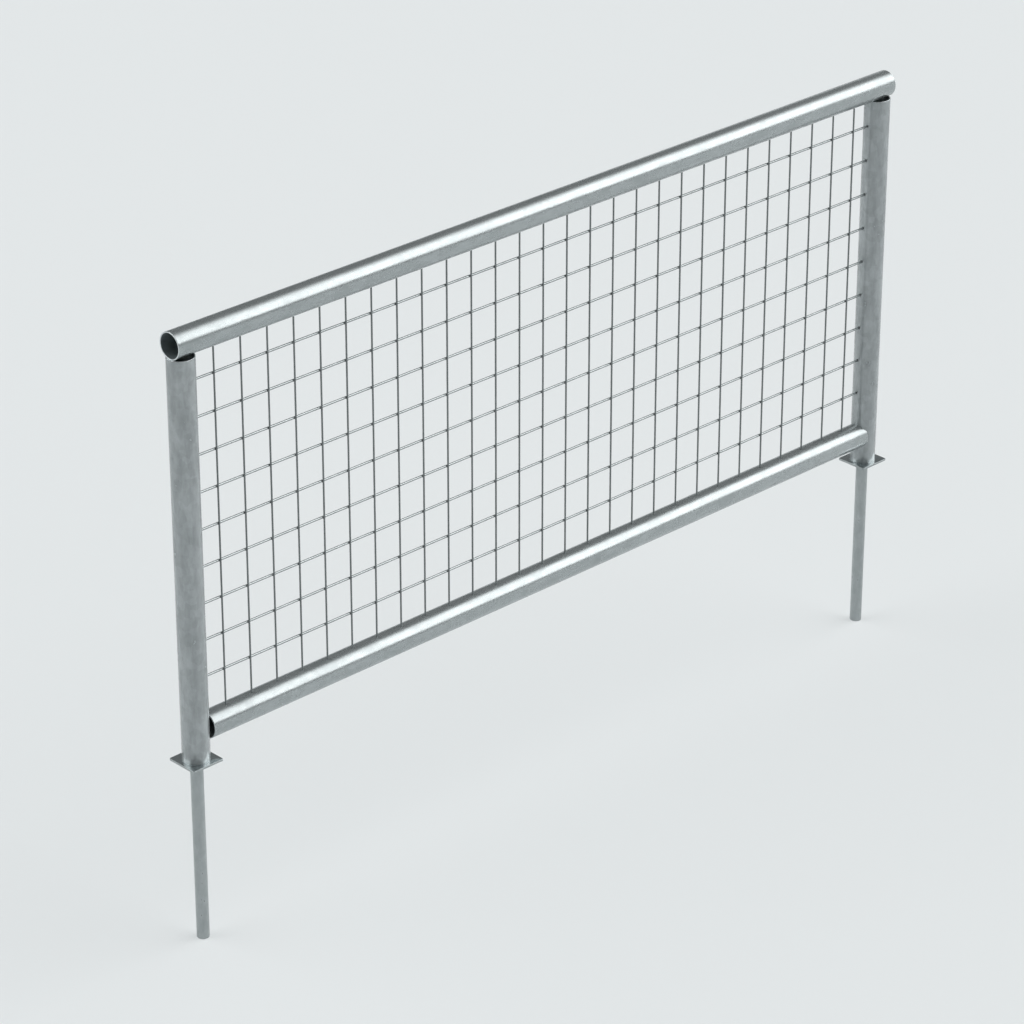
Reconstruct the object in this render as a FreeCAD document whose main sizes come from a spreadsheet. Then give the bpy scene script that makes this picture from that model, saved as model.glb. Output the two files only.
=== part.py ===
# Pedestrian barrier: a welded frame of round galvanised tube, filled with a panel of crossed wires.
# Two open posts carry a top rail on their rims and a bottom rail between them. Each post stands on
# a small square ground plate, and a round stake goes through the plate and down into the ground.
# Millimetres. X runs along the barrier from the left post to the right one, Y goes back through it
# and Z is up. The origin is on the left post's axis, on the underside of its plate: ground level.

import FreeCAD, Part
import os
import Sketcher

# Driving dimensions, each on its own line and free to change by itself.
SIZES = {
    # Posts: the distance between their axes, and their tube.
    "post_spacing": 2073.0,
    "post_diameter": 60.3,
    "post_wall": 2.9,
    # Top rail: its axis above the ground, how far it passes the posts' axes, and its seat on their rims.
    "top_rail_height": 952.0,
    "top_rail_diameter": 60.3,
    "top_rail_wall": 2.9,
    "top_rail_overhang": 27.0,
    "saddle_depth": 1.0,
    # Bottom rail: its axis above the ground, and how deep its square-cut ends reach into the posts' round.
    "bottom_rail_height": 73.4,
    "bottom_rail_diameter": 60.3,
    "bottom_rail_wall": 2.9,
    "bottom_rail_left_bite": 1.0,
    "bottom_rail_right_bite": 14.0,
    # Ground plates.
    "plate_side": 80.0,
    "plate_thickness": 5.0,
    "plate_corner_radius": 3.0,
    # Stakes: round bar, its length below the ground, and the broken edge at its tip.
    "stake_diameter": 28.0,
    "stake_depth": 430.0,
    "stake_chamfer": 1.5,
    # Weld round a stake's head: its width, and the root that it leaves open at the plate's underside.
    "weld_width": 1.0,
    "weld_root": 1.0,
    # Wire panel: its wires, how far crossing wires are pressed into each other, and how far apart they are.
    "upright_diameter": 4.0,
    "cross_diameter": 5.5,
    "weld_sink": 0.8,
    "upright_spacing": 70.7,
    "cross_spacing": 84.2,
    "first_cross_gap": 61.9,
}

# Clear width and height that the wire panel fills, between the surfaces of the tubes.
CLEAR_WIDTH = "(sizes.post_spacing - sizes.post_diameter)"
CLEAR_HEIGHT = (
    "(sizes.top_rail_height - sizes.bottom_rail_height"
    " - sizes.top_rail_diameter / 2 - sizes.bottom_rail_diameter / 2)"
)

# Upright wires are centred between the posts, with half a spacing or more left over at each end.
UPRIGHT_COUNT = f"floor({CLEAR_WIDTH} / sizes.upright_spacing)"
FIRST_UPRIGHT = f"(sizes.post_spacing - ({UPRIGHT_COUNT} - 1) * sizes.upright_spacing) / 2"

# Cross wires start at a fixed gap under the top rail and end about one spacing above the bottom rail.
CROSS_COUNT = f"floor(({CLEAR_HEIGHT} - sizes.first_cross_gap) / sizes.cross_spacing + 0.5)"
FIRST_CROSS = "sizes.top_rail_height - sizes.top_rail_diameter / 2 - sizes.first_cross_gap"

# Uprights lie on the front of the cross wires, and the two layers together are centred between the posts.
UPRIGHT_LAYER = "-(sizes.cross_diameter - sizes.weld_sink) / 2"
CROSS_LAYER = "(sizes.upright_diameter - sizes.weld_sink) / 2"

# The hole in a ground plate is wider than the stake by the weld that fills the gap all round.
STAKE_HOLE = "sizes.stake_diameter + 2 * sizes.weld_width"

# Left pieces stand at the origin, right pieces one post spacing along X.
SIDES = {"left": {}, "right": {"x": "sizes.post_spacing"}}

# The wires are drawn as bars with this many flats.
WIRE_FLATS = 8


def fill_sheet(document):
    """The spreadsheet that drives every sketch and feature."""
    sheet = document.addObject("Spreadsheet::Sheet", "sizes")
    for row, (name, size) in enumerate(SIZES.items(), start=1):
        sheet.set(f"A{row}", name.replace("_", " "))
        sheet.set(f"B{row}", str(size))
        sheet.setAlias(f"B{row}", name)
    document.recompute()


def new_body(document, label, **place):
    """A named piece, with the axes given in place bound to the sheet."""
    body = document.addObject("PartDesign::Body", label)
    body.Label = label
    for axis, expression in place.items():
        body.setExpression(f"Placement.Base.{axis}", expression)
    return body


def origin_feature(body, role):
    """One of the body's own planes or axes, by its role."""
    for feature in body.Origin.OriginFeatures:
        if feature.Role == role:
            return feature
    raise ValueError(role)


def new_sketch(body, name, plane, **offset):
    """A sketch on one of the body's planes, moved in the sketch's own axes by bound offsets."""
    sketch = body.newObject("Sketcher::SketchObject", f"{body.Name}_{name}")
    sketch.AttachmentSupport = (origin_feature(body, plane), [""])
    sketch.MapMode = "FlatFace"
    for axis, expression in offset.items():
        sketch.setExpression(f"AttachmentOffset.Base.{axis}", expression)
    return sketch


def bind(sketch, constraint, name, expression):
    """Adds a driving constraint whose value follows an expression."""
    index = sketch.addConstraint(constraint)
    sketch.renameConstraint(index, name)
    sketch.setExpression(f"Constraints.{name}", expression)


def draw_circle(sketch, name, diameter):
    """A circle about the sketch's origin."""
    size = sketch.evalExpression(diameter)
    circle = sketch.addGeometry(Part.Circle(FreeCAD.Vector(), FreeCAD.Vector(0, 0, 1), size / 2))
    sketch.addConstraint(Sketcher.Constraint("Coincident", circle, 3, -1, 1))
    bind(sketch, Sketcher.Constraint("Diameter", circle, size), name, diameter)
    return circle


def draw_polygon(sketch, corners):
    """Straight sides through the corners, joined end to end and closed."""
    sides = []
    for start, end in zip(corners, corners[1:] + corners[:1]):
        sides.append(sketch.addGeometry(Part.LineSegment(start, end)))
    for side, following in zip(sides, sides[1:] + sides[:1]):
        sketch.addConstraint(Sketcher.Constraint("Coincident", side, 2, following, 1))
    return sides


def draw_tube(sketch, outer, wall):
    """The ring section of a tube."""
    draw_circle(sketch, "outer", outer)
    draw_circle(sketch, "bore", f"{outer} - 2 * {wall}")


def draw_square(sketch, side):
    """A square centred on the sketch's origin."""
    half = sketch.evalExpression(side) / 2
    corners = [
        FreeCAD.Vector(-half, -half, 0),
        FreeCAD.Vector(half, -half, 0),
        FreeCAD.Vector(half, half, 0),
        FreeCAD.Vector(-half, half, 0),
    ]
    bottom, right, top, left = draw_polygon(sketch, corners)
    for level in (bottom, top):
        sketch.addConstraint(Sketcher.Constraint("Horizontal", level))
    for upright in (right, left):
        sketch.addConstraint(Sketcher.Constraint("Vertical", upright))
    sketch.addConstraint(Sketcher.Constraint("Equal", bottom, right))
    sketch.addConstraint(Sketcher.Constraint("Symmetric", bottom, 1, right, 2, -1, 1))
    bind(sketch, Sketcher.Constraint("Distance", bottom, 2 * half), "side", side)


def draw_wire(sketch, across_flats):
    """A regular polygon about the sketch's origin, with flats facing along both sketch axes."""
    corner_circle = f"{across_flats} / cos(180 deg / {WIRE_FLATS})"
    ring = draw_circle(sketch, "corners", corner_circle)
    sketch.setConstruction(ring, True)
    radius = sketch.evalExpression(corner_circle) / 2
    turn = FreeCAD.Rotation(FreeCAD.Vector(0, 0, 1), 360 / WIRE_FLATS)
    half_turn = FreeCAD.Rotation(FreeCAD.Vector(0, 0, 1), 180 / WIRE_FLATS)
    corner = half_turn.multVec(FreeCAD.Vector(radius, 0, 0))
    corners = []
    for _ in range(WIRE_FLATS):
        corners.append(corner)
        corner = turn.multVec(corner)
    flats = draw_polygon(sketch, corners)
    for flat in flats:
        sketch.addConstraint(Sketcher.Constraint("PointOnObject", flat, 1, ring))
    for flat in flats[1:]:
        sketch.addConstraint(Sketcher.Constraint("Equal", flats[0], flat))
    sketch.addConstraint(Sketcher.Constraint("Vertical", flats[-1]))


def pad(body, sketch, name, length):
    """Extrudes a sketch along its normal."""
    feature = body.newObject("PartDesign::Pad", f"{body.Name}_{name}")
    feature.Profile = sketch
    feature.setExpression("Length", length)
    feature.Refine = False
    return feature


def cut_round(body, name, plane, diameter, **offset):
    """Cuts a round way right through the body, both ways from one of its planes."""
    sketch = new_sketch(body, f"{name}_profile", plane, **offset)
    draw_circle(sketch, "way", diameter)
    feature = body.newObject("PartDesign::Pocket", f"{body.Name}_{name}")
    feature.Profile = sketch
    feature.SideType = "Symmetric"
    feature.Type = "ThroughAll"
    feature.Refine = False
    return feature


def repeat(body, original, name, axis, spacing, count):
    """Copies a feature along one of the body's axes."""
    feature = body.newObject("PartDesign::LinearPattern", f"{body.Name}_{name}")
    feature.Originals = [original]
    feature.Direction = (origin_feature(body, axis), [""])
    feature.Mode = "Spacing"
    feature.setExpression("Offset", spacing)
    feature.setExpression("Occurrences", count)
    feature.Refine = False
    body.Tip = feature
    return feature


def edge_names(feature, wanted):
    """Names of the feature's edges, in its body's own frame, that pass a test."""
    return [f"Edge{number}" for number, edge in enumerate(feature.Shape.Edges, start=1) if wanted(edge)]


def make_post(document, side):
    """Open tube, cut square at the foot and let round the top rail by a shallow saddle."""
    body = new_body(document, f"{side}_post", z="sizes.plate_thickness", **SIDES[side])
    section = new_sketch(body, "section", "XY_Plane")
    draw_tube(section, "sizes.post_diameter", "sizes.post_wall")
    rim = "sizes.top_rail_height - sizes.top_rail_diameter / 2 + sizes.saddle_depth"
    pad(body, section, "tube", f"{rim} - sizes.plate_thickness")
    rail_axis = "sizes.top_rail_height - sizes.plate_thickness"
    cut_round(body, "saddle", "YZ_Plane", "sizes.top_rail_diameter", y=rail_axis)
    return body


def make_top_rail(document):
    """Open tube, cut square at both ends, lying on the posts' rims."""
    body = new_body(document, "top_rail", z="sizes.top_rail_height")
    section = new_sketch(body, "section", "YZ_Plane", z="-sizes.top_rail_overhang")
    draw_tube(section, "sizes.top_rail_diameter", "sizes.top_rail_wall")
    pad(body, section, "tube", "sizes.post_spacing + 2 * sizes.top_rail_overhang")
    return body


def make_bottom_rail(document):
    """Open tube between the posts: its square-cut ends are notched where they meet the posts' round."""
    body = new_body(document, "bottom_rail", z="sizes.bottom_rail_height")
    left_end = "sizes.post_diameter / 2 - sizes.bottom_rail_left_bite"
    right_end = "sizes.post_diameter / 2 - sizes.bottom_rail_right_bite"
    section = new_sketch(body, "section", "YZ_Plane", z=left_end)
    draw_tube(section, "sizes.bottom_rail_diameter", "sizes.bottom_rail_wall")
    pad(body, section, "tube", f"sizes.post_spacing - ({left_end}) - ({right_end})")
    for side, place in SIDES.items():
        cut_round(body, f"{side}_notch", "XY_Plane", "sizes.post_diameter", **place)
    return body


def make_ground_plate(document, side):
    """Square plate with rounded corners, and a hole that the stake's head is welded into."""
    body = new_body(document, f"{side}_ground_plate", **SIDES[side])
    outline = new_sketch(body, "outline", "XY_Plane")
    draw_square(outline, "sizes.plate_side")
    draw_circle(outline, "stake_hole", STAKE_HOLE)
    plate = pad(body, outline, "plate", "sizes.plate_thickness")
    document.recompute()
    clear_of_hole = plate.evalExpression(STAKE_HOLE) / 2

    def is_corner(edge):
        middle = edge.CenterOfMass
        return edge.BoundBox.ZLength > 0 and min(abs(middle.x), abs(middle.y)) > clear_of_hole

    corners = body.newObject("PartDesign::Fillet", f"{body.Name}_corners")
    corners.Base = (plate, edge_names(plate, is_corner))
    corners.setExpression("Radius", "sizes.plate_corner_radius")
    return body


def make_stake(document, side):
    """Round bar with a broken edge at its tip, and its head and weld flush in the ground plate."""
    body = new_body(document, f"{side}_stake", z="-sizes.stake_depth", **SIDES[side])
    section = new_sketch(body, "section", "XY_Plane")
    draw_circle(section, "outer", "sizes.stake_diameter")
    bar = pad(body, section, "bar", "sizes.stake_depth + sizes.weld_root")
    document.recompute()
    half_way = document.sizes.stake_depth / 2

    def is_tip(edge):
        return edge.BoundBox.ZMax < half_way

    broken_edge = body.newObject("PartDesign::Chamfer", f"{body.Name}_tip")
    broken_edge.Base = (bar, edge_names(bar, is_tip))
    broken_edge.setExpression("Size", "sizes.stake_chamfer")
    head_section = new_sketch(body, "head_section", "XY_Plane", z="sizes.stake_depth + sizes.weld_root")
    draw_circle(head_section, "outer", STAKE_HOLE)
    pad(body, head_section, "head", "sizes.plate_thickness - sizes.weld_root")
    return body


def make_mesh_panel(document):
    """Upright wires in front of cross wires, pressed together at every crossing, ends cut to the tubes."""
    body = new_body(document, "mesh_panel")
    body.AllowCompound = True
    foot = "sizes.bottom_rail_height"
    upright_section = new_sketch(
        body, "upright_section", "XY_Plane", x=FIRST_UPRIGHT, y=UPRIGHT_LAYER, z=foot)
    draw_wire(upright_section, "sizes.upright_diameter")
    upright = pad(body, upright_section, "upright", "sizes.top_rail_height - sizes.bottom_rail_height")
    repeat(body, upright, "uprights", "X_Axis", "sizes.upright_spacing", UPRIGHT_COUNT)
    lowest_cross = f"{FIRST_CROSS} - ({CROSS_COUNT} - 1) * sizes.cross_spacing"
    cross_section = new_sketch(body, "cross_section", "YZ_Plane", x=CROSS_LAYER, y=lowest_cross)
    draw_wire(cross_section, "sizes.cross_diameter")
    cross = pad(body, cross_section, "cross", "sizes.post_spacing")
    repeat(body, cross, "crosses", "Z_Axis", "sizes.cross_spacing", CROSS_COUNT)
    for rail in ("top_rail", "bottom_rail"):
        cut_round(body, f"{rail}_seat", "YZ_Plane", f"sizes.{rail}_diameter", y=f"sizes.{rail}_height")
    for side, place in SIDES.items():
        cut_round(body, f"{side}_post_seat", "XY_Plane", "sizes.post_diameter", **place)
    return body


def check(document, bodies):
    """Stops if an object failed, or a piece isn't one valid solid."""
    for item in document.Objects:
        if "Invalid" in item.State or "Error" in item.State:
            raise RuntimeError(f"{item.Name}: {item.State}")
    for body in bodies:
        shape = body.Shape
        if shape.isNull() or not shape.isValid() or len(shape.Solids) != 1:
            raise RuntimeError(f"{body.Label} isn't one valid solid")


barrier = FreeCAD.newDocument("pedestrian_barrier")
fill_sheet(barrier)
pieces = [make_top_rail(barrier), make_bottom_rail(barrier), make_mesh_panel(barrier)]
for hand in SIDES:
    pieces.append(make_post(barrier, hand))
    pieces.append(make_ground_plate(barrier, hand))
    pieces.append(make_stake(barrier, hand))
barrier.recompute()
check(barrier, pieces)

os.makedirs("parts", exist_ok=True)
for piece in pieces:
    piece.Shape.exportStep(f"parts/{piece.Label}.step")
    print(f"{piece.Label}: {piece.Shape.Volume / 1000:.1f} cm3, {len(piece.Shape.Faces)} faces")
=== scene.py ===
import math

import bpy
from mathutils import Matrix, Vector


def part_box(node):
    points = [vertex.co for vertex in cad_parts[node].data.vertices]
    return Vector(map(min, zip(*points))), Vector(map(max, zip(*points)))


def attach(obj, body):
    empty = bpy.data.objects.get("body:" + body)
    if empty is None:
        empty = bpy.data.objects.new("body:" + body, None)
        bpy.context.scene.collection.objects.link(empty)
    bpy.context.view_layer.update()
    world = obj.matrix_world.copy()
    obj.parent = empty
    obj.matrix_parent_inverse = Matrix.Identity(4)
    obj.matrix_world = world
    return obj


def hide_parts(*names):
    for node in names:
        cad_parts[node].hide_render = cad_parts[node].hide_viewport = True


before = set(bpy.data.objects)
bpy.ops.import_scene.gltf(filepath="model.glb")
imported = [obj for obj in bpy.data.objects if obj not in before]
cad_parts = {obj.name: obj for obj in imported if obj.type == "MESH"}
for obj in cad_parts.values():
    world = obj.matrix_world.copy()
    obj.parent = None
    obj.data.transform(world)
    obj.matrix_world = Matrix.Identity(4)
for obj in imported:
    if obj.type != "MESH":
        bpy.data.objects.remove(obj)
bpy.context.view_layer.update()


# Stakes: plain round bar, hot-dip galvanised, that goes into the ground or a ground sleeve.
# The tip is cut square with a broken edge. The head sits in the ground plate's hole, flush with
# the plate's top, and a ring of weld a millimetre wide holds it there.

STAKE_RADIUS = 0.014
STAKE_SIDES = 64
STAKE_TIP_EDGE = 0.0015
STAKE_WELD_WIDTH = 0.001
STAKE_WELD_ROOT = 0.001
EDGE_STEPS = 3
FACES_ALONG = 0.9
SEAM_MERGE = 0.000001
CREASE = math.radians(35)
CLOUD_DETAIL = 6.0
CLOUD_ROUGHNESS = 0.62
CLOUD_SWIRL = 0.25
CLOUD_RANGE = (0.32, 0.68)
CRYSTAL_SHARE = 0.28
SWELL_DETAIL = 1.0
GRAIN_SIZE = 1.0 / 420.0
GRAIN_DETAIL = 3.0
GRAIN_SHARE = 0.05
RELIEF_DEPTH = 0.001


def select_nothing():
    """Leaves edit mode with no object selected."""
    if bpy.context.mode != "OBJECT":
        bpy.ops.object.mode_set(mode="OBJECT")
    bpy.ops.object.select_all(action="DESELECT")


def edit_faces(piece, wanted):
    """Edit mode, with the faces selected whose centre and normal pass a test."""
    bpy.ops.object.mode_set(mode="EDIT")
    bpy.ops.mesh.select_mode(type="FACE")
    bpy.ops.mesh.select_all(action="DESELECT")
    bpy.ops.object.mode_set(mode="OBJECT")
    for face in piece.data.polygons:
        face.select = wanted(face.center, face.normal)
    bpy.ops.object.mode_set(mode="EDIT")


def edit_edges(piece, wanted):
    """Edit mode, with the edges selected whose two ends pass a test."""
    bpy.ops.object.mode_set(mode="EDIT")
    bpy.ops.mesh.select_mode(type="EDGE")
    bpy.ops.mesh.select_all(action="DESELECT")
    bpy.ops.object.mode_set(mode="OBJECT")
    points = piece.data.vertices
    for edge in piece.data.edges:
        start, end = (points[index].co for index in edge.vertices)
        edge.select = wanted(start, end)
    bpy.ops.object.mode_set(mode="EDIT")


def add_bar(name, radius, sides, start, end, axis="Z", x=0.0, y=0.0, z=0.0):
    """A closed round bar from start to end along Z or X, with its place in its mesh."""
    select_nothing()
    middle = (start + end) / 2
    along_x = axis == "X"
    bpy.ops.mesh.primitive_cylinder_add(
        vertices=sides,
        radius=radius,
        depth=end - start,
        end_fill_type="NGON",
        location=(middle, y, z) if along_x else (x, y, middle),
        rotation=(0.0, math.pi / 2, 0.0) if along_x else (0.0, 0.0, 0.0),
    )
    piece = bpy.context.object
    piece.name = name
    piece.data.name = name
    bpy.ops.object.transform_apply(location=True, rotation=True, scale=True)
    return piece


def finish_shape(piece):
    """Merges doubles, turns faces outwards, and smooths all but the creases."""
    select_nothing()
    piece.select_set(True)
    bpy.context.view_layer.objects.active = piece
    bpy.ops.object.mode_set(mode="EDIT")
    bpy.ops.mesh.select_all(action="SELECT")
    bpy.ops.mesh.remove_doubles(threshold=SEAM_MERGE)
    bpy.ops.mesh.normals_make_consistent(inside=False)
    bpy.ops.object.mode_set(mode="OBJECT")
    bpy.ops.object.shade_smooth_by_angle(angle=CREASE)


def copy_along(piece, name, distance):
    """A copy with a mesh of its own, moved along the barrier."""
    select_nothing()
    piece.select_set(True)
    bpy.context.view_layer.objects.active = piece
    bpy.ops.object.duplicate(linked=False)
    copy = bpy.context.object
    copy.name = name
    copy.data.name = name
    bpy.ops.transform.translate(value=(distance, 0.0, 0.0))
    bpy.ops.object.transform_apply(location=True, rotation=True, scale=True)
    return copy


def stand_for(piece, node):
    """The piece takes the place of its solid."""
    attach(piece, "root")
    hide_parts(node)


def galvanise(name, light, dark, metal, spangle, cloud, stretch, roughness, relief):
    """Zinc over steel: crystals of the given size, clouds drawn out along the piece, fine grain."""
    finish = bpy.data.materials.new(name)
    finish.use_nodes = True
    nodes = finish.node_tree.nodes
    links = finish.node_tree.links
    zinc = nodes["Principled BSDF"]
    zinc.inputs["Metallic"].default_value = metal
    place = nodes.new("ShaderNodeTexCoord")

    drawn_out = nodes.new("ShaderNodeMapping")
    drawn_out.inputs["Scale"].default_value = stretch
    links.new(place.outputs["Object"], drawn_out.inputs["Vector"])

    clouds = nodes.new("ShaderNodeTexNoise")
    clouds.inputs["Scale"].default_value = 1.0 / cloud
    clouds.inputs["Detail"].default_value = CLOUD_DETAIL
    clouds.inputs["Roughness"].default_value = CLOUD_ROUGHNESS
    clouds.inputs["Distortion"].default_value = CLOUD_SWIRL
    links.new(drawn_out.outputs["Vector"], clouds.inputs["Vector"])

    crystals = nodes.new("ShaderNodeTexVoronoi")
    crystals.feature = "F1"
    crystals.inputs["Scale"].default_value = 1.0 / spangle
    crystals.inputs["Randomness"].default_value = 1.0
    links.new(place.outputs["Object"], crystals.inputs["Vector"])
    crystal_tone = nodes.new("ShaderNodeSeparateColor")
    links.new(crystals.outputs["Color"], crystal_tone.inputs["Color"])

    swell = nodes.new("ShaderNodeTexNoise")
    swell.inputs["Scale"].default_value = 1.0 / cloud
    swell.inputs["Detail"].default_value = SWELL_DETAIL
    links.new(drawn_out.outputs["Vector"], swell.inputs["Vector"])

    grain = nodes.new("ShaderNodeTexNoise")
    grain.inputs["Scale"].default_value = 1.0 / GRAIN_SIZE
    grain.inputs["Detail"].default_value = GRAIN_DETAIL
    links.new(place.outputs["Object"], grain.inputs["Vector"])

    cloud_tone = nodes.new("ShaderNodeMapRange")
    cloud_tone.inputs["From Min"].default_value = CLOUD_RANGE[0]
    cloud_tone.inputs["From Max"].default_value = CLOUD_RANGE[1]
    links.new(clouds.outputs["Fac"], cloud_tone.inputs["Value"])

    tone = nodes.new("ShaderNodeMix")
    tone.data_type = "FLOAT"
    tone.inputs["Factor"].default_value = CRYSTAL_SHARE
    links.new(cloud_tone.outputs["Result"], tone.inputs["A"])
    links.new(crystal_tone.outputs["Red"], tone.inputs["B"])

    colour = nodes.new("ShaderNodeMix")
    colour.data_type = "RGBA"
    colour.inputs["A"].default_value = (*dark, 1.0)
    colour.inputs["B"].default_value = (*light, 1.0)
    links.new(tone.outputs["Result"], colour.inputs["Factor"])
    links.new(colour.outputs["Result"], zinc.inputs["Base Color"])

    satin = nodes.new("ShaderNodeMapRange")
    satin.inputs["To Min"].default_value = roughness[1]
    satin.inputs["To Max"].default_value = roughness[0]
    links.new(tone.outputs["Result"], satin.inputs["Value"])
    links.new(satin.outputs["Result"], zinc.inputs["Roughness"])

    uneven = nodes.new("ShaderNodeMix")
    uneven.data_type = "FLOAT"
    uneven.inputs["Factor"].default_value = GRAIN_SHARE
    links.new(swell.outputs["Fac"], uneven.inputs["A"])
    links.new(grain.outputs["Fac"], uneven.inputs["B"])
    skin = nodes.new("ShaderNodeBump")
    skin.inputs["Strength"].default_value = relief
    skin.inputs["Distance"].default_value = RELIEF_DEPTH
    links.new(uneven.outputs["Result"], skin.inputs["Height"])
    links.new(skin.outputs["Normal"], zinc.inputs["Normal"])
    return finish


stake_low, stake_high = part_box("left_stake")
left_stake = add_bar("stake_left", STAKE_RADIUS, STAKE_SIDES, stake_low.z, STAKE_WELD_ROOT)
edit_faces(left_stake, lambda centre, normal: normal.z > FACES_ALONG)
bpy.ops.mesh.extrude_region_move(TRANSFORM_OT_translate={"value": (0.0, 0.0, 0.0)})
head_growth = 1.0 + STAKE_WELD_WIDTH / STAKE_RADIUS
bpy.ops.transform.resize(value=(head_growth, head_growth, 1.0))
head_height = stake_high.z - STAKE_WELD_ROOT
bpy.ops.mesh.extrude_region_move(TRANSFORM_OT_translate={"value": (0.0, 0.0, head_height)})
bpy.ops.object.mode_set(mode="OBJECT")
tip = stake_low.z + STAKE_TIP_EDGE / 2
edit_edges(left_stake, lambda start, end: start.z < tip and end.z < tip)
bpy.ops.mesh.bevel(offset=STAKE_TIP_EDGE, segments=EDGE_STEPS, affect="EDGES")
bpy.ops.object.mode_set(mode="OBJECT")
finish_shape(left_stake)

stake_zinc = galvanise(
    "galvanised_bar",
    light=(0.41, 0.44, 0.445),
    dark=(0.33, 0.36, 0.365),
    metal=0.6,
    spangle=0.011,
    cloud=0.014,
    stretch=(1.0, 1.0, 0.35),
    roughness=(0.26, 0.38),
    relief=0.15,
)
left_stake.data.materials.append(stake_zinc)

post_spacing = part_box("right_stake")[0].x - stake_low.x
right_stake = copy_along(left_stake, "stake_right", post_spacing)
stand_for(left_stake, "left_stake")
stand_for(right_stake, "right_stake")


# Ground plates: small squares of 5 mm plate, flame cut, with rounded corners and the sharp edges
# taken off. The cut edges take the stakes' darker finish, which paints shade on them. The stake is
# welded into the hole in the middle and the post stands on top.

PLATE_CORNER = 0.003
PLATE_CORNER_STEPS = 6
PLATE_EDGE = 0.0006
PLATE_CUTTER_REACH = 0.01


def cut_away(piece, cutter):
    """Cuts one closed shape out of a piece and throws the cutter away."""
    select_nothing()
    piece.select_set(True)
    bpy.context.view_layer.objects.active = piece
    cut = piece.modifiers.new("cut", "BOOLEAN")
    cut.operation = "DIFFERENCE"
    cut.solver = "EXACT"
    cut.object = cutter
    bpy.ops.object.modifier_apply(modifier=cut.name)
    waste = cutter.data
    bpy.data.objects.remove(cutter)
    bpy.data.meshes.remove(waste)


plate_low, plate_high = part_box("left_ground_plate")
plate_size = plate_high - plate_low
select_nothing()
bpy.ops.mesh.primitive_cube_add(size=1.0, location=(plate_low + plate_high) / 2, scale=plate_size)
left_plate = bpy.context.object
left_plate.name = "ground_plate_left"
left_plate.data.name = "ground_plate_left"
bpy.ops.object.transform_apply(location=True, rotation=True, scale=True)
edit_edges(left_plate, lambda start, end: abs(start.z - end.z) > plate_size.z / 2)
bpy.ops.mesh.bevel(offset=PLATE_CORNER, segments=PLATE_CORNER_STEPS, affect="EDGES")
bpy.ops.object.mode_set(mode="OBJECT")
edit_edges(left_plate, lambda start, end: abs(start.z - end.z) < PLATE_EDGE)
bpy.ops.mesh.bevel(offset=PLATE_EDGE, segments=EDGE_STEPS, affect="EDGES")
bpy.ops.object.mode_set(mode="OBJECT")
stake_hole = add_bar(
    "stake_hole",
    STAKE_RADIUS + STAKE_WELD_WIDTH,
    STAKE_SIDES,
    plate_low.z - PLATE_CUTTER_REACH,
    plate_high.z + PLATE_CUTTER_REACH,
)
cut_away(left_plate, stake_hole)
finish_shape(left_plate)

plate_zinc = galvanise(
    "galvanised_plate",
    light=(0.73, 0.78, 0.79),
    dark=(0.64, 0.69, 0.7),
    metal=1.0,
    spangle=0.012,
    cloud=0.02,
    stretch=(1.0, 1.0, 1.0),
    roughness=(0.14, 0.2),
    relief=0.06,
)
left_plate.data.materials.append(plate_zinc)
# The plate's cut edges take the stakes' darker finish: painted shade on its sides.
left_plate.data.materials.append(stake_zinc)
edit_faces(left_plate, lambda centre, normal: abs(normal.z) < FACES_ALONG)
left_plate.active_material_index = 1
bpy.ops.object.material_slot_assign()
bpy.ops.object.mode_set(mode="OBJECT")
right_plate = copy_along(left_plate, "ground_plate_right", post_spacing)
stand_for(left_plate, "left_ground_plate")
stand_for(right_plate, "right_ground_plate")


# Posts: round steel tube, 60.3 mm by 2.9 mm, cut square at the foot and welded to the plate.
# The open top is let a millimetre round the top rail by two shallow saddles and welded to it.

TUBE_RADIUS = 0.03015
TUBE_WALL = 0.0029
TUBE_SIDES = 96
RIM_EDGE = 0.0007
RIM_FACES_ALONG = 0.5
SEAM = 0.0001


def off_axis(point, axis, z):
    """How far a point lies from the axis of a tube along Z, or along X at a height."""
    return math.hypot(point.y, point.z - z) if axis == "X" else math.hypot(point.x, point.y)


def add_tube(name, start, end, axis="Z", z=0.0):
    """An open tube with eased rims: a bar whose ends are inset by the wall and bridged through."""
    piece = add_bar(name, TUBE_RADIUS, TUBE_SIDES, start, end, axis, z=z)
    along = 0 if axis == "X" else 2

    def on_rim(first, second):
        level = abs(first[along] - second[along]) < RIM_EDGE
        return level and abs(off_axis(first, axis, z) - off_axis(second, axis, z)) < RIM_EDGE

    edit_faces(piece, lambda centre, normal: abs(normal[along]) > FACES_ALONG)
    bpy.ops.mesh.inset(thickness=TUBE_WALL)
    bpy.ops.mesh.bridge_edge_loops()
    bpy.ops.object.mode_set(mode="OBJECT")
    edit_edges(piece, on_rim)
    bpy.ops.mesh.bevel(offset=RIM_EDGE, segments=EDGE_STEPS, affect="EDGES")
    bpy.ops.object.mode_set(mode="OBJECT")
    return piece


def dress_tube(piece, zinc, axis="Z", z=0.0):
    """Zinc outside, rims painted brighter as a highlight at the ends, and the bore painted dark as
    shade.
    """
    along = 0 if axis == "X" else 2
    bore = TUBE_RADIUS - TUBE_WALL + RIM_EDGE / 2

    def on_rim(centre, normal):
        return abs(normal[along]) > RIM_FACES_ALONG

    def in_bore(centre, normal):
        return abs(normal[along]) < RIM_FACES_ALONG and off_axis(centre, axis, z) < bore

    for finish in (zinc, rim_painted_highlight, bore_painted_shade):
        piece.data.materials.append(finish)
    for index, wanted in ((1, on_rim), (2, in_bore)):
        edit_faces(piece, wanted)
        piece.active_material_index = index
        bpy.ops.object.material_slot_assign()
        bpy.ops.object.mode_set(mode="OBJECT")


# Rim faces: a lighter copy of the zinc, a painted highlight on the tube ends.
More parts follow.
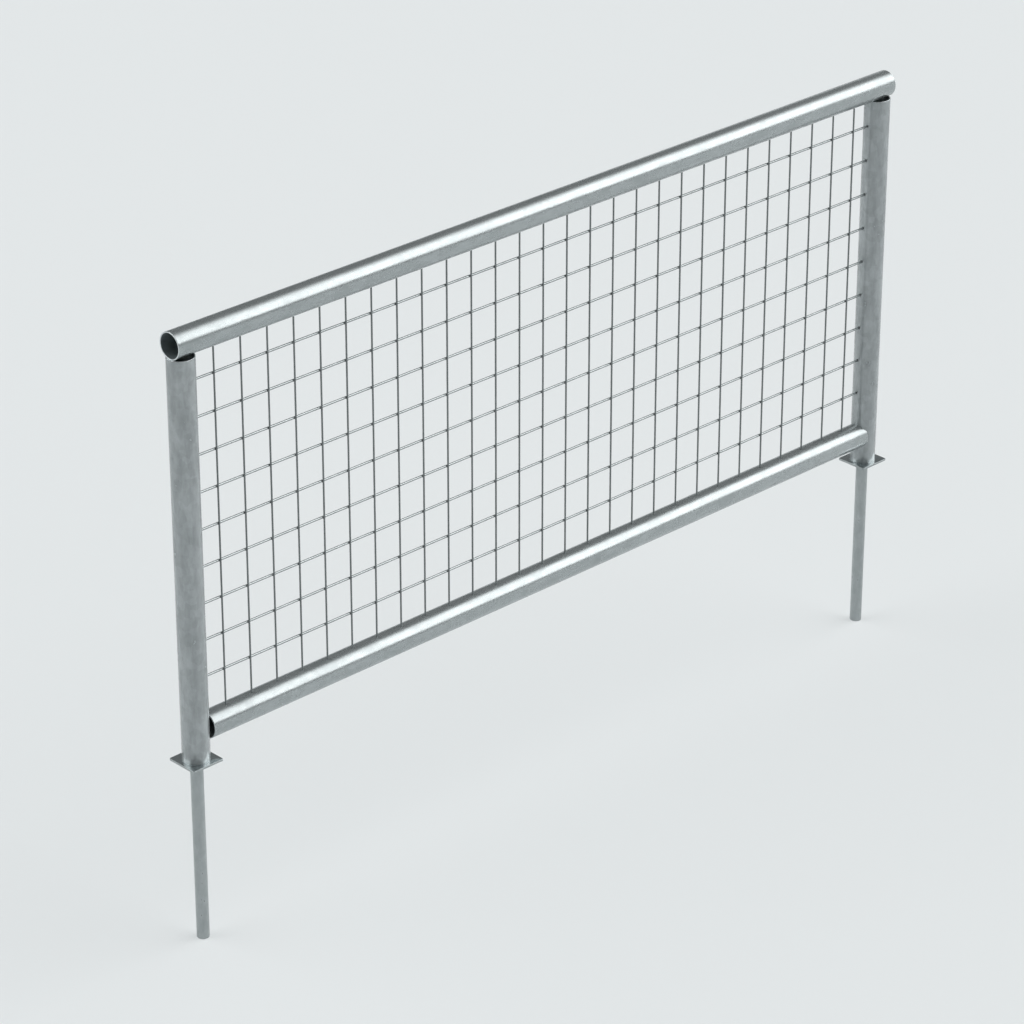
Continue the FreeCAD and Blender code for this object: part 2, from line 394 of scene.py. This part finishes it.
rim_painted_highlight = galvanise(
    "galvanised_rim_painted_highlight",
    light=(0.7, 0.74, 0.75),
    dark=(0.6, 0.64, 0.65),
    metal=0.9,
    spangle=0.006,
    cloud=0.01,
    stretch=(1.0, 1.0, 1.0),
    roughness=(0.25, 0.35),
    relief=0.08,
)
# Bore faces: a darker copy of the zinc, painted shade inside the tube.
bore_painted_shade = galvanise(
    "galvanised_bore_painted_shade",
    light=(0.19, 0.222, 0.23),
    dark=(0.13, 0.155, 0.16),
    metal=0.4,
    spangle=0.012,
    cloud=0.02,
    stretch=(1.0, 1.0, 1.0),
    roughness=(0.45, 0.6),
    relief=0.1,
)

post_low, post_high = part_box("left_post")
rail_low, rail_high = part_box("top_rail")
rail_axis = (rail_low.z + rail_high.z) / 2
left_post = add_tube("post_left", post_low.z, post_high.z)
saddle = add_bar(
    "saddle",
    TUBE_RADIUS - SEAM,
    TUBE_SIDES,
    -2 * TUBE_RADIUS,
    2 * TUBE_RADIUS,
    "X",
    z=rail_axis,
)
cut_away(left_post, saddle)
finish_shape(left_post)

post_zinc = galvanise(
    "galvanised_tube_upright",
    light=(0.425, 0.456, 0.463),
    dark=(0.272, 0.295, 0.301),
    metal=0.4,
    spangle=0.013,
    cloud=0.018,
    stretch=(1.0, 1.0, 0.28),
    roughness=(0.2, 0.28),
    relief=0.06,
)
dress_tube(left_post, post_zinc)
right_post = copy_along(left_post, "post_right", post_spacing)
stand_for(left_post, "left_post")
stand_for(right_post, "right_post")


# Bottom rail: the same tube laid between the posts a hand's breadth above the ground.
# Its ends are sawn square and notched to the posts' round: barely at the left, where the open
# bore shows beside the post, and deeper at the right, where two ears wrap round it.

NOTCH_REACH = 0.01

bottom_low, bottom_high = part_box("bottom_rail")
bottom_axis = (bottom_low.z + bottom_high.z) / 2
bottom_rail = add_tube("rail_bottom", bottom_low.x, bottom_high.x, "X", z=bottom_axis)
for post_x in (0.0, post_spacing):
    notch = add_bar(
        "notch",
        TUBE_RADIUS - SEAM,
        TUBE_SIDES,
        bottom_low.z - NOTCH_REACH,
        bottom_high.z + NOTCH_REACH,
        x=post_x,
    )
    cut_away(bottom_rail, notch)
finish_shape(bottom_rail)

rail_zinc = galvanise(
    "galvanised_tube_level",
    light=(0.44, 0.475, 0.48),
    dark=(0.35, 0.38, 0.385),
    metal=0.75,
    spangle=0.013,
    cloud=0.018,
    stretch=(0.35, 1.0, 1.0),
    roughness=(0.24, 0.3),
    relief=0.12,
)
dress_tube(bottom_rail, rail_zinc, "X", z=bottom_axis)
stand_for(bottom_rail, "bottom_rail")


# Top rail: one length of the same tube lying on both posts' rims and welded there.
# It passes the posts' axes a little at each end, and its sawn ends are left open.

top_rail = add_tube("rail_top", rail_low.x, rail_high.x, "X", z=rail_axis)
finish_shape(top_rail)
dress_tube(top_rail, rail_zinc, "X", z=rail_axis)
stand_for(top_rail, "top_rail")


# Mesh panel: drawn steel wire, resistance welded at every crossing and galvanised. Thin uprights
# lie on the front of thicker cross wires, pressed into them by the welder, and a small nugget of
# squeezed metal fills each joint. All ends run into the tubes, the cross wires' in a weld. The
# welds' dark colour is partly burnt weld and partly painted shade at the joints.

UPRIGHT_RADIUS = 0.002
CROSS_RADIUS = 0.00275
WIRE_SIDES = 16
WIRE_SINK = 0.0008
WIRE_END_IN_TUBE = 0.0015
UPRIGHT_SPACING = 0.0707
CROSS_SPACING = 0.0842
FIRST_CROSS_GAP = 0.0619
NUGGET_RADIUS = 0.0026
NUGGET_STRETCH = (1.7, 0.8, 1.0)
END_WELD_RADIUS = 0.0032
END_WELD_STRETCH = (2.0, 1.0, 1.0)
BEAD_SEGMENTS = 10
BEAD_RINGS = 6


def repeat_along(piece, count, step):
    """Copies a shape in a row within its own mesh."""
    select_nothing()
    piece.select_set(True)
    bpy.context.view_layer.objects.active = piece
    row = piece.modifiers.new("row", "ARRAY")
    row.count = count
    row.use_relative_offset = False
    row.use_constant_offset = True
    row.constant_offset_displace = step
    bpy.ops.object.modifier_apply(modifier=row.name)


def add_bead(name, radius, stretch, place):
    """A small bead of weld: a ball stretched about its own middle."""
    select_nothing()
    bpy.ops.mesh.primitive_uv_sphere_add(
        segments=BEAD_SEGMENTS, ring_count=BEAD_RINGS, radius=radius, location=place)
    bead = bpy.context.object
    bead.name = name
    bpy.ops.object.mode_set(mode="EDIT")
    bpy.ops.mesh.select_all(action="SELECT")
    bpy.ops.transform.resize(value=stretch)
    bpy.ops.object.mode_set(mode="OBJECT")
    bpy.ops.object.transform_apply(location=True, rotation=True, scale=True)
    return bead


upright_layer = WIRE_SINK / 2 - CROSS_RADIUS
cross_layer = UPRIGHT_RADIUS - WIRE_SINK / 2
contact_layer = upright_layer + UPRIGHT_RADIUS - WIRE_SINK / 2
clear_width = post_spacing - 2 * TUBE_RADIUS
upright_count = math.floor(clear_width / UPRIGHT_SPACING)
first_upright = (post_spacing - (upright_count - 1) * UPRIGHT_SPACING) / 2
top_cross = rail_low.z - FIRST_CROSS_GAP
cross_count = math.floor((top_cross - bottom_high.z) / CROSS_SPACING + 0.5)
lowest_cross = top_cross - (cross_count - 1) * CROSS_SPACING

wire_panel = add_bar(
    "wire_panel",
    UPRIGHT_RADIUS,
    WIRE_SIDES,
    bottom_high.z - WIRE_END_IN_TUBE,
    rail_low.z + WIRE_END_IN_TUBE,
    x=first_upright,
    y=upright_layer,
)
repeat_along(wire_panel, upright_count, (UPRIGHT_SPACING, 0.0, 0.0))

cross_wires = add_bar(
    "cross_wires",
    CROSS_RADIUS,
    WIRE_SIDES,
    TUBE_RADIUS - WIRE_END_IN_TUBE,
    post_spacing - TUBE_RADIUS + WIRE_END_IN_TUBE,
    "X",
    y=cross_layer,
    z=lowest_cross,
)
repeat_along(cross_wires, cross_count, (0.0, 0.0, CROSS_SPACING))

nuggets = add_bead(
    "weld_nuggets", NUGGET_RADIUS, NUGGET_STRETCH, (first_upright, contact_layer, lowest_cross))
repeat_along(nuggets, upright_count, (UPRIGHT_SPACING, 0.0, 0.0))
repeat_along(nuggets, cross_count, (0.0, 0.0, CROSS_SPACING))

end_welds = add_bead(
    "end_welds", END_WELD_RADIUS, END_WELD_STRETCH, (TUBE_RADIUS, cross_layer, lowest_cross))
repeat_along(end_welds, 2, (clear_width, 0.0, 0.0))
repeat_along(end_welds, cross_count, (0.0, 0.0, CROSS_SPACING))

# The uprights take a darker copy of the cross wires' zinc: painted shade on the same wire.
upright_painted_shade = galvanise(
    "galvanised_wire_upright_painted_shade",
    light=(0.19, 0.207, 0.21),
    dark=(0.155, 0.169, 0.172),
    metal=0.6,
    spangle=0.006,
    cloud=0.02,
    stretch=(1.0, 1.0, 0.35),
    roughness=(0.22, 0.28),
    relief=0.03,
)
wire_panel.data.materials.append(upright_painted_shade)
cross_zinc = galvanise(
    "galvanised_wire_level",
    light=(0.385, 0.412, 0.417),
    dark=(0.33, 0.356, 0.361),
    metal=0.85,
    spangle=0.006,
    cloud=0.02,
    stretch=(0.35, 1.0, 1.0),
    roughness=(0.2, 0.25),
    relief=0.03,
)
cross_wires.data.materials.append(cross_zinc)
# The welds are darker than the wire: partly burnt weld scale, partly painted shade at the crossings
# and wire ends.
weld_scale_and_painted_shade = galvanise(
    "galvanised_weld_and_painted_shade",
    light=(0.12, 0.13, 0.133),
    dark=(0.07, 0.077, 0.08),
    metal=0.5,
    spangle=0.003,
    cloud=0.004,
    stretch=(1.0, 1.0, 1.0),
    roughness=(0.35, 0.5),
    relief=0.2,
)
nuggets.data.materials.append(weld_scale_and_painted_shade)
end_welds.data.materials.append(weld_scale_and_painted_shade)
select_nothing()
for part in (nuggets, end_welds, cross_wires, wire_panel):
    part.select_set(True)
bpy.context.view_layer.objects.active = wire_panel
bpy.ops.object.join()
finish_shape(wire_panel)
stand_for(wire_panel, "mesh_panel")


# Studio: a plain pale floor under the stakes' tips with a low pale backdrop far round it, two wide
# soft panels under the ceiling of a dim grey room, and a long lens that looks down along the
# barrier from its left front.

FLOOR_SIZE = 80.0
FLOOR_COLOUR = (0.773, 0.804, 0.812)
FLOOR_GLOW = 0.6
BACKDROP_RADIUS = 36.0
BACKDROP_HEIGHT = 5.5
BACKDROP_SIDES = 96
ROOM_COLOUR = (0.15, 0.158, 0.16)
PANELS = (
    {
        "x": (0.25, 9.0),
        "y": (-2.6, -0.19),
        "x_edge": 0.3,
        "y_edges": (0.3, 0.4),
        "rear_slope": 0.2,
        "level": 3.1,
    },
    {
        "x": (-3.0, -0.3),
        "y": (0.2, 1.9),
        "x_edge": 0.3,
        "y_edges": (0.3, 0.3),
        "rear_slope": 0.0,
        "level": 2.8,
    },
)
HORIZON_FADE = (0.05, 0.2)
LEAST_HEIGHT = 0.001
CAMERA_PLACE = (-4.6457, -5.7785, 4.2583)
CAMERA_TILT = math.radians(63.507)
CAMERA_TURN = math.radians(-43.876)
LENS = 143.86
SENSOR = 36.0

select_nothing()
bpy.ops.mesh.primitive_plane_add(size=FLOOR_SIZE, location=(0.0, 0.0, stake_low.z))
floor = bpy.context.object
floor.name = "floor"
bpy.ops.object.transform_apply(location=True, rotation=True, scale=True)
floor_paint = bpy.data.materials.new("floor_paint")
floor_paint.use_nodes = True
floor_nodes = floor_paint.node_tree.nodes
floor_links = floor_paint.node_tree.links
matt = floor_nodes["Principled BSDF"]
matt.inputs["Base Color"].default_value = (*FLOOR_COLOUR, 1.0)
matt.inputs["Roughness"].default_value = 1.0
matt.inputs["Specular IOR Level"].default_value = 0.0
sheen = floor_nodes.new("ShaderNodeEmission")
sheen.inputs["Color"].default_value = (*FLOOR_COLOUR, 1.0)
rays = floor_nodes.new("ShaderNodeLightPath")
seen = floor_nodes.new("ShaderNodeMath")
seen.operation = "MAXIMUM"
floor_links.new(rays.outputs["Is Camera Ray"], seen.inputs[0])
floor_links.new(rays.outputs["Is Glossy Ray"], seen.inputs[1])
seen_through = floor_nodes.new("ShaderNodeMath")
seen_through.operation = "MAXIMUM"
floor_links.new(seen.outputs["Value"], seen_through.inputs[0])
floor_links.new(rays.outputs["Is Transmission Ray"], seen_through.inputs[1])
share = floor_nodes.new("ShaderNodeMath")
share.operation = "MULTIPLY"
share.inputs[1].default_value = FLOOR_GLOW
floor_links.new(seen_through.outputs["Value"], share.inputs[0])
blend = floor_nodes.new("ShaderNodeMixShader")
floor_links.new(share.outputs["Value"], blend.inputs["Fac"])
floor_links.new(matt.outputs["BSDF"], blend.inputs[1])
floor_links.new(sheen.outputs["Emission"], blend.inputs[2])
floor_links.new(blend.outputs["Shader"], floor_nodes["Material Output"].inputs["Surface"])
floor.data.materials.append(floor_paint)

select_nothing()
bpy.ops.mesh.primitive_cylinder_add(
    vertices=BACKDROP_SIDES,
    radius=BACKDROP_RADIUS,
    depth=BACKDROP_HEIGHT,
    end_fill_type="NOTHING",
    location=(0.0, 0.0, stake_low.z + BACKDROP_HEIGHT / 2),
)
backdrop = bpy.context.object
backdrop.name = "backdrop"
bpy.ops.object.transform_apply(location=True, rotation=True, scale=True)
bpy.ops.object.shade_smooth()
backdrop.data.materials.append(floor_paint)

room = bpy.data.worlds.new("studio")
bpy.context.scene.world = room
room.use_nodes = True
room_nodes = room.node_tree.nodes
room_links = room.node_tree.links


def room_sum(operation, first, second):
    """A sum on two values in the room's light, each a socket or a number."""
    node = room_nodes.new("ShaderNodeMath")
    node.operation = operation
    for socket, value in zip(node.inputs, (first, second)):
        if isinstance(value, float):
            socket.default_value = value
        else:
            room_links.new(value, socket)
    return node.outputs["Value"]


def room_step(value, start, end):
    """Nought before start, one after end, and smooth between them."""
    node = room_nodes.new("ShaderNodeMapRange")
    node.interpolation_type = "SMOOTHSTEP"
    node.inputs["From Min"].default_value = min(start, end)
    node.inputs["From Max"].default_value = max(start, end)
    node.inputs["To Min"].default_value = 0.0 if start < end else 1.0
    node.inputs["To Max"].default_value = 1.0 if start < end else 0.0
    room_links.new(value, node.inputs["Value"])
    return node.outputs["Result"]


look = room_nodes.new("ShaderNodeTexCoord")
ways = room_nodes.new("ShaderNodeSeparateXYZ")
room_links.new(look.outputs["Generated"], ways.inputs["Vector"])
height = room_sum("MAXIMUM", ways.outputs["Z"], LEAST_HEIGHT)
across = room_sum("DIVIDE", ways.outputs["X"], height)
back = room_sum("DIVIDE", ways.outputs["Y"], height)
above = room_step(ways.outputs["Z"], *HORIZON_FADE)
light = None
for panel in PANELS:
    left, right = panel["x"]
    front, rear = panel["y"]
    soft = panel["x_edge"]
    front_soft, rear_soft = panel["y_edges"]
    shape = room_sum("MULTIPLY", above, room_step(across, left - soft, left + soft))
    shape = room_sum("MULTIPLY", shape, room_step(across, right + soft, right - soft))
    shape = room_sum("MULTIPLY", shape, room_step(back, front - front_soft, front + front_soft))
    past_rear = room_sum("SUBTRACT", back, room_sum("MULTIPLY", across, panel["rear_slope"]))
    shape = room_sum("MULTIPLY", shape, room_step(past_rear, rear + rear_soft, rear - rear_soft))
    shine = room_nodes.new("ShaderNodeMix")
    shine.data_type = "RGBA"
    shine.inputs["A"].default_value = (*ROOM_COLOUR, 1.0)
    shine.inputs["B"].default_value = (panel["level"],) * 3 + (1.0,)
    room_links.new(shape, shine.inputs["Factor"])
    if light is not None:
        room_links.new(light.outputs["Result"], shine.inputs["A"])
    light = shine
room_links.new(light.outputs["Result"], room_nodes["Background"].inputs["Color"])

lens = bpy.data.cameras.new("camera")
lens.lens = LENS
lens.sensor_width = SENSOR
camera = bpy.data.objects.new("camera", lens)
camera.location = CAMERA_PLACE
camera.rotation_euler = (CAMERA_TILT, 0.0, CAMERA_TURN)
bpy.context.scene.collection.objects.link(camera)
bpy.context.scene.camera = camera
bpy.context.scene.view_settings.view_transform = "Standard"
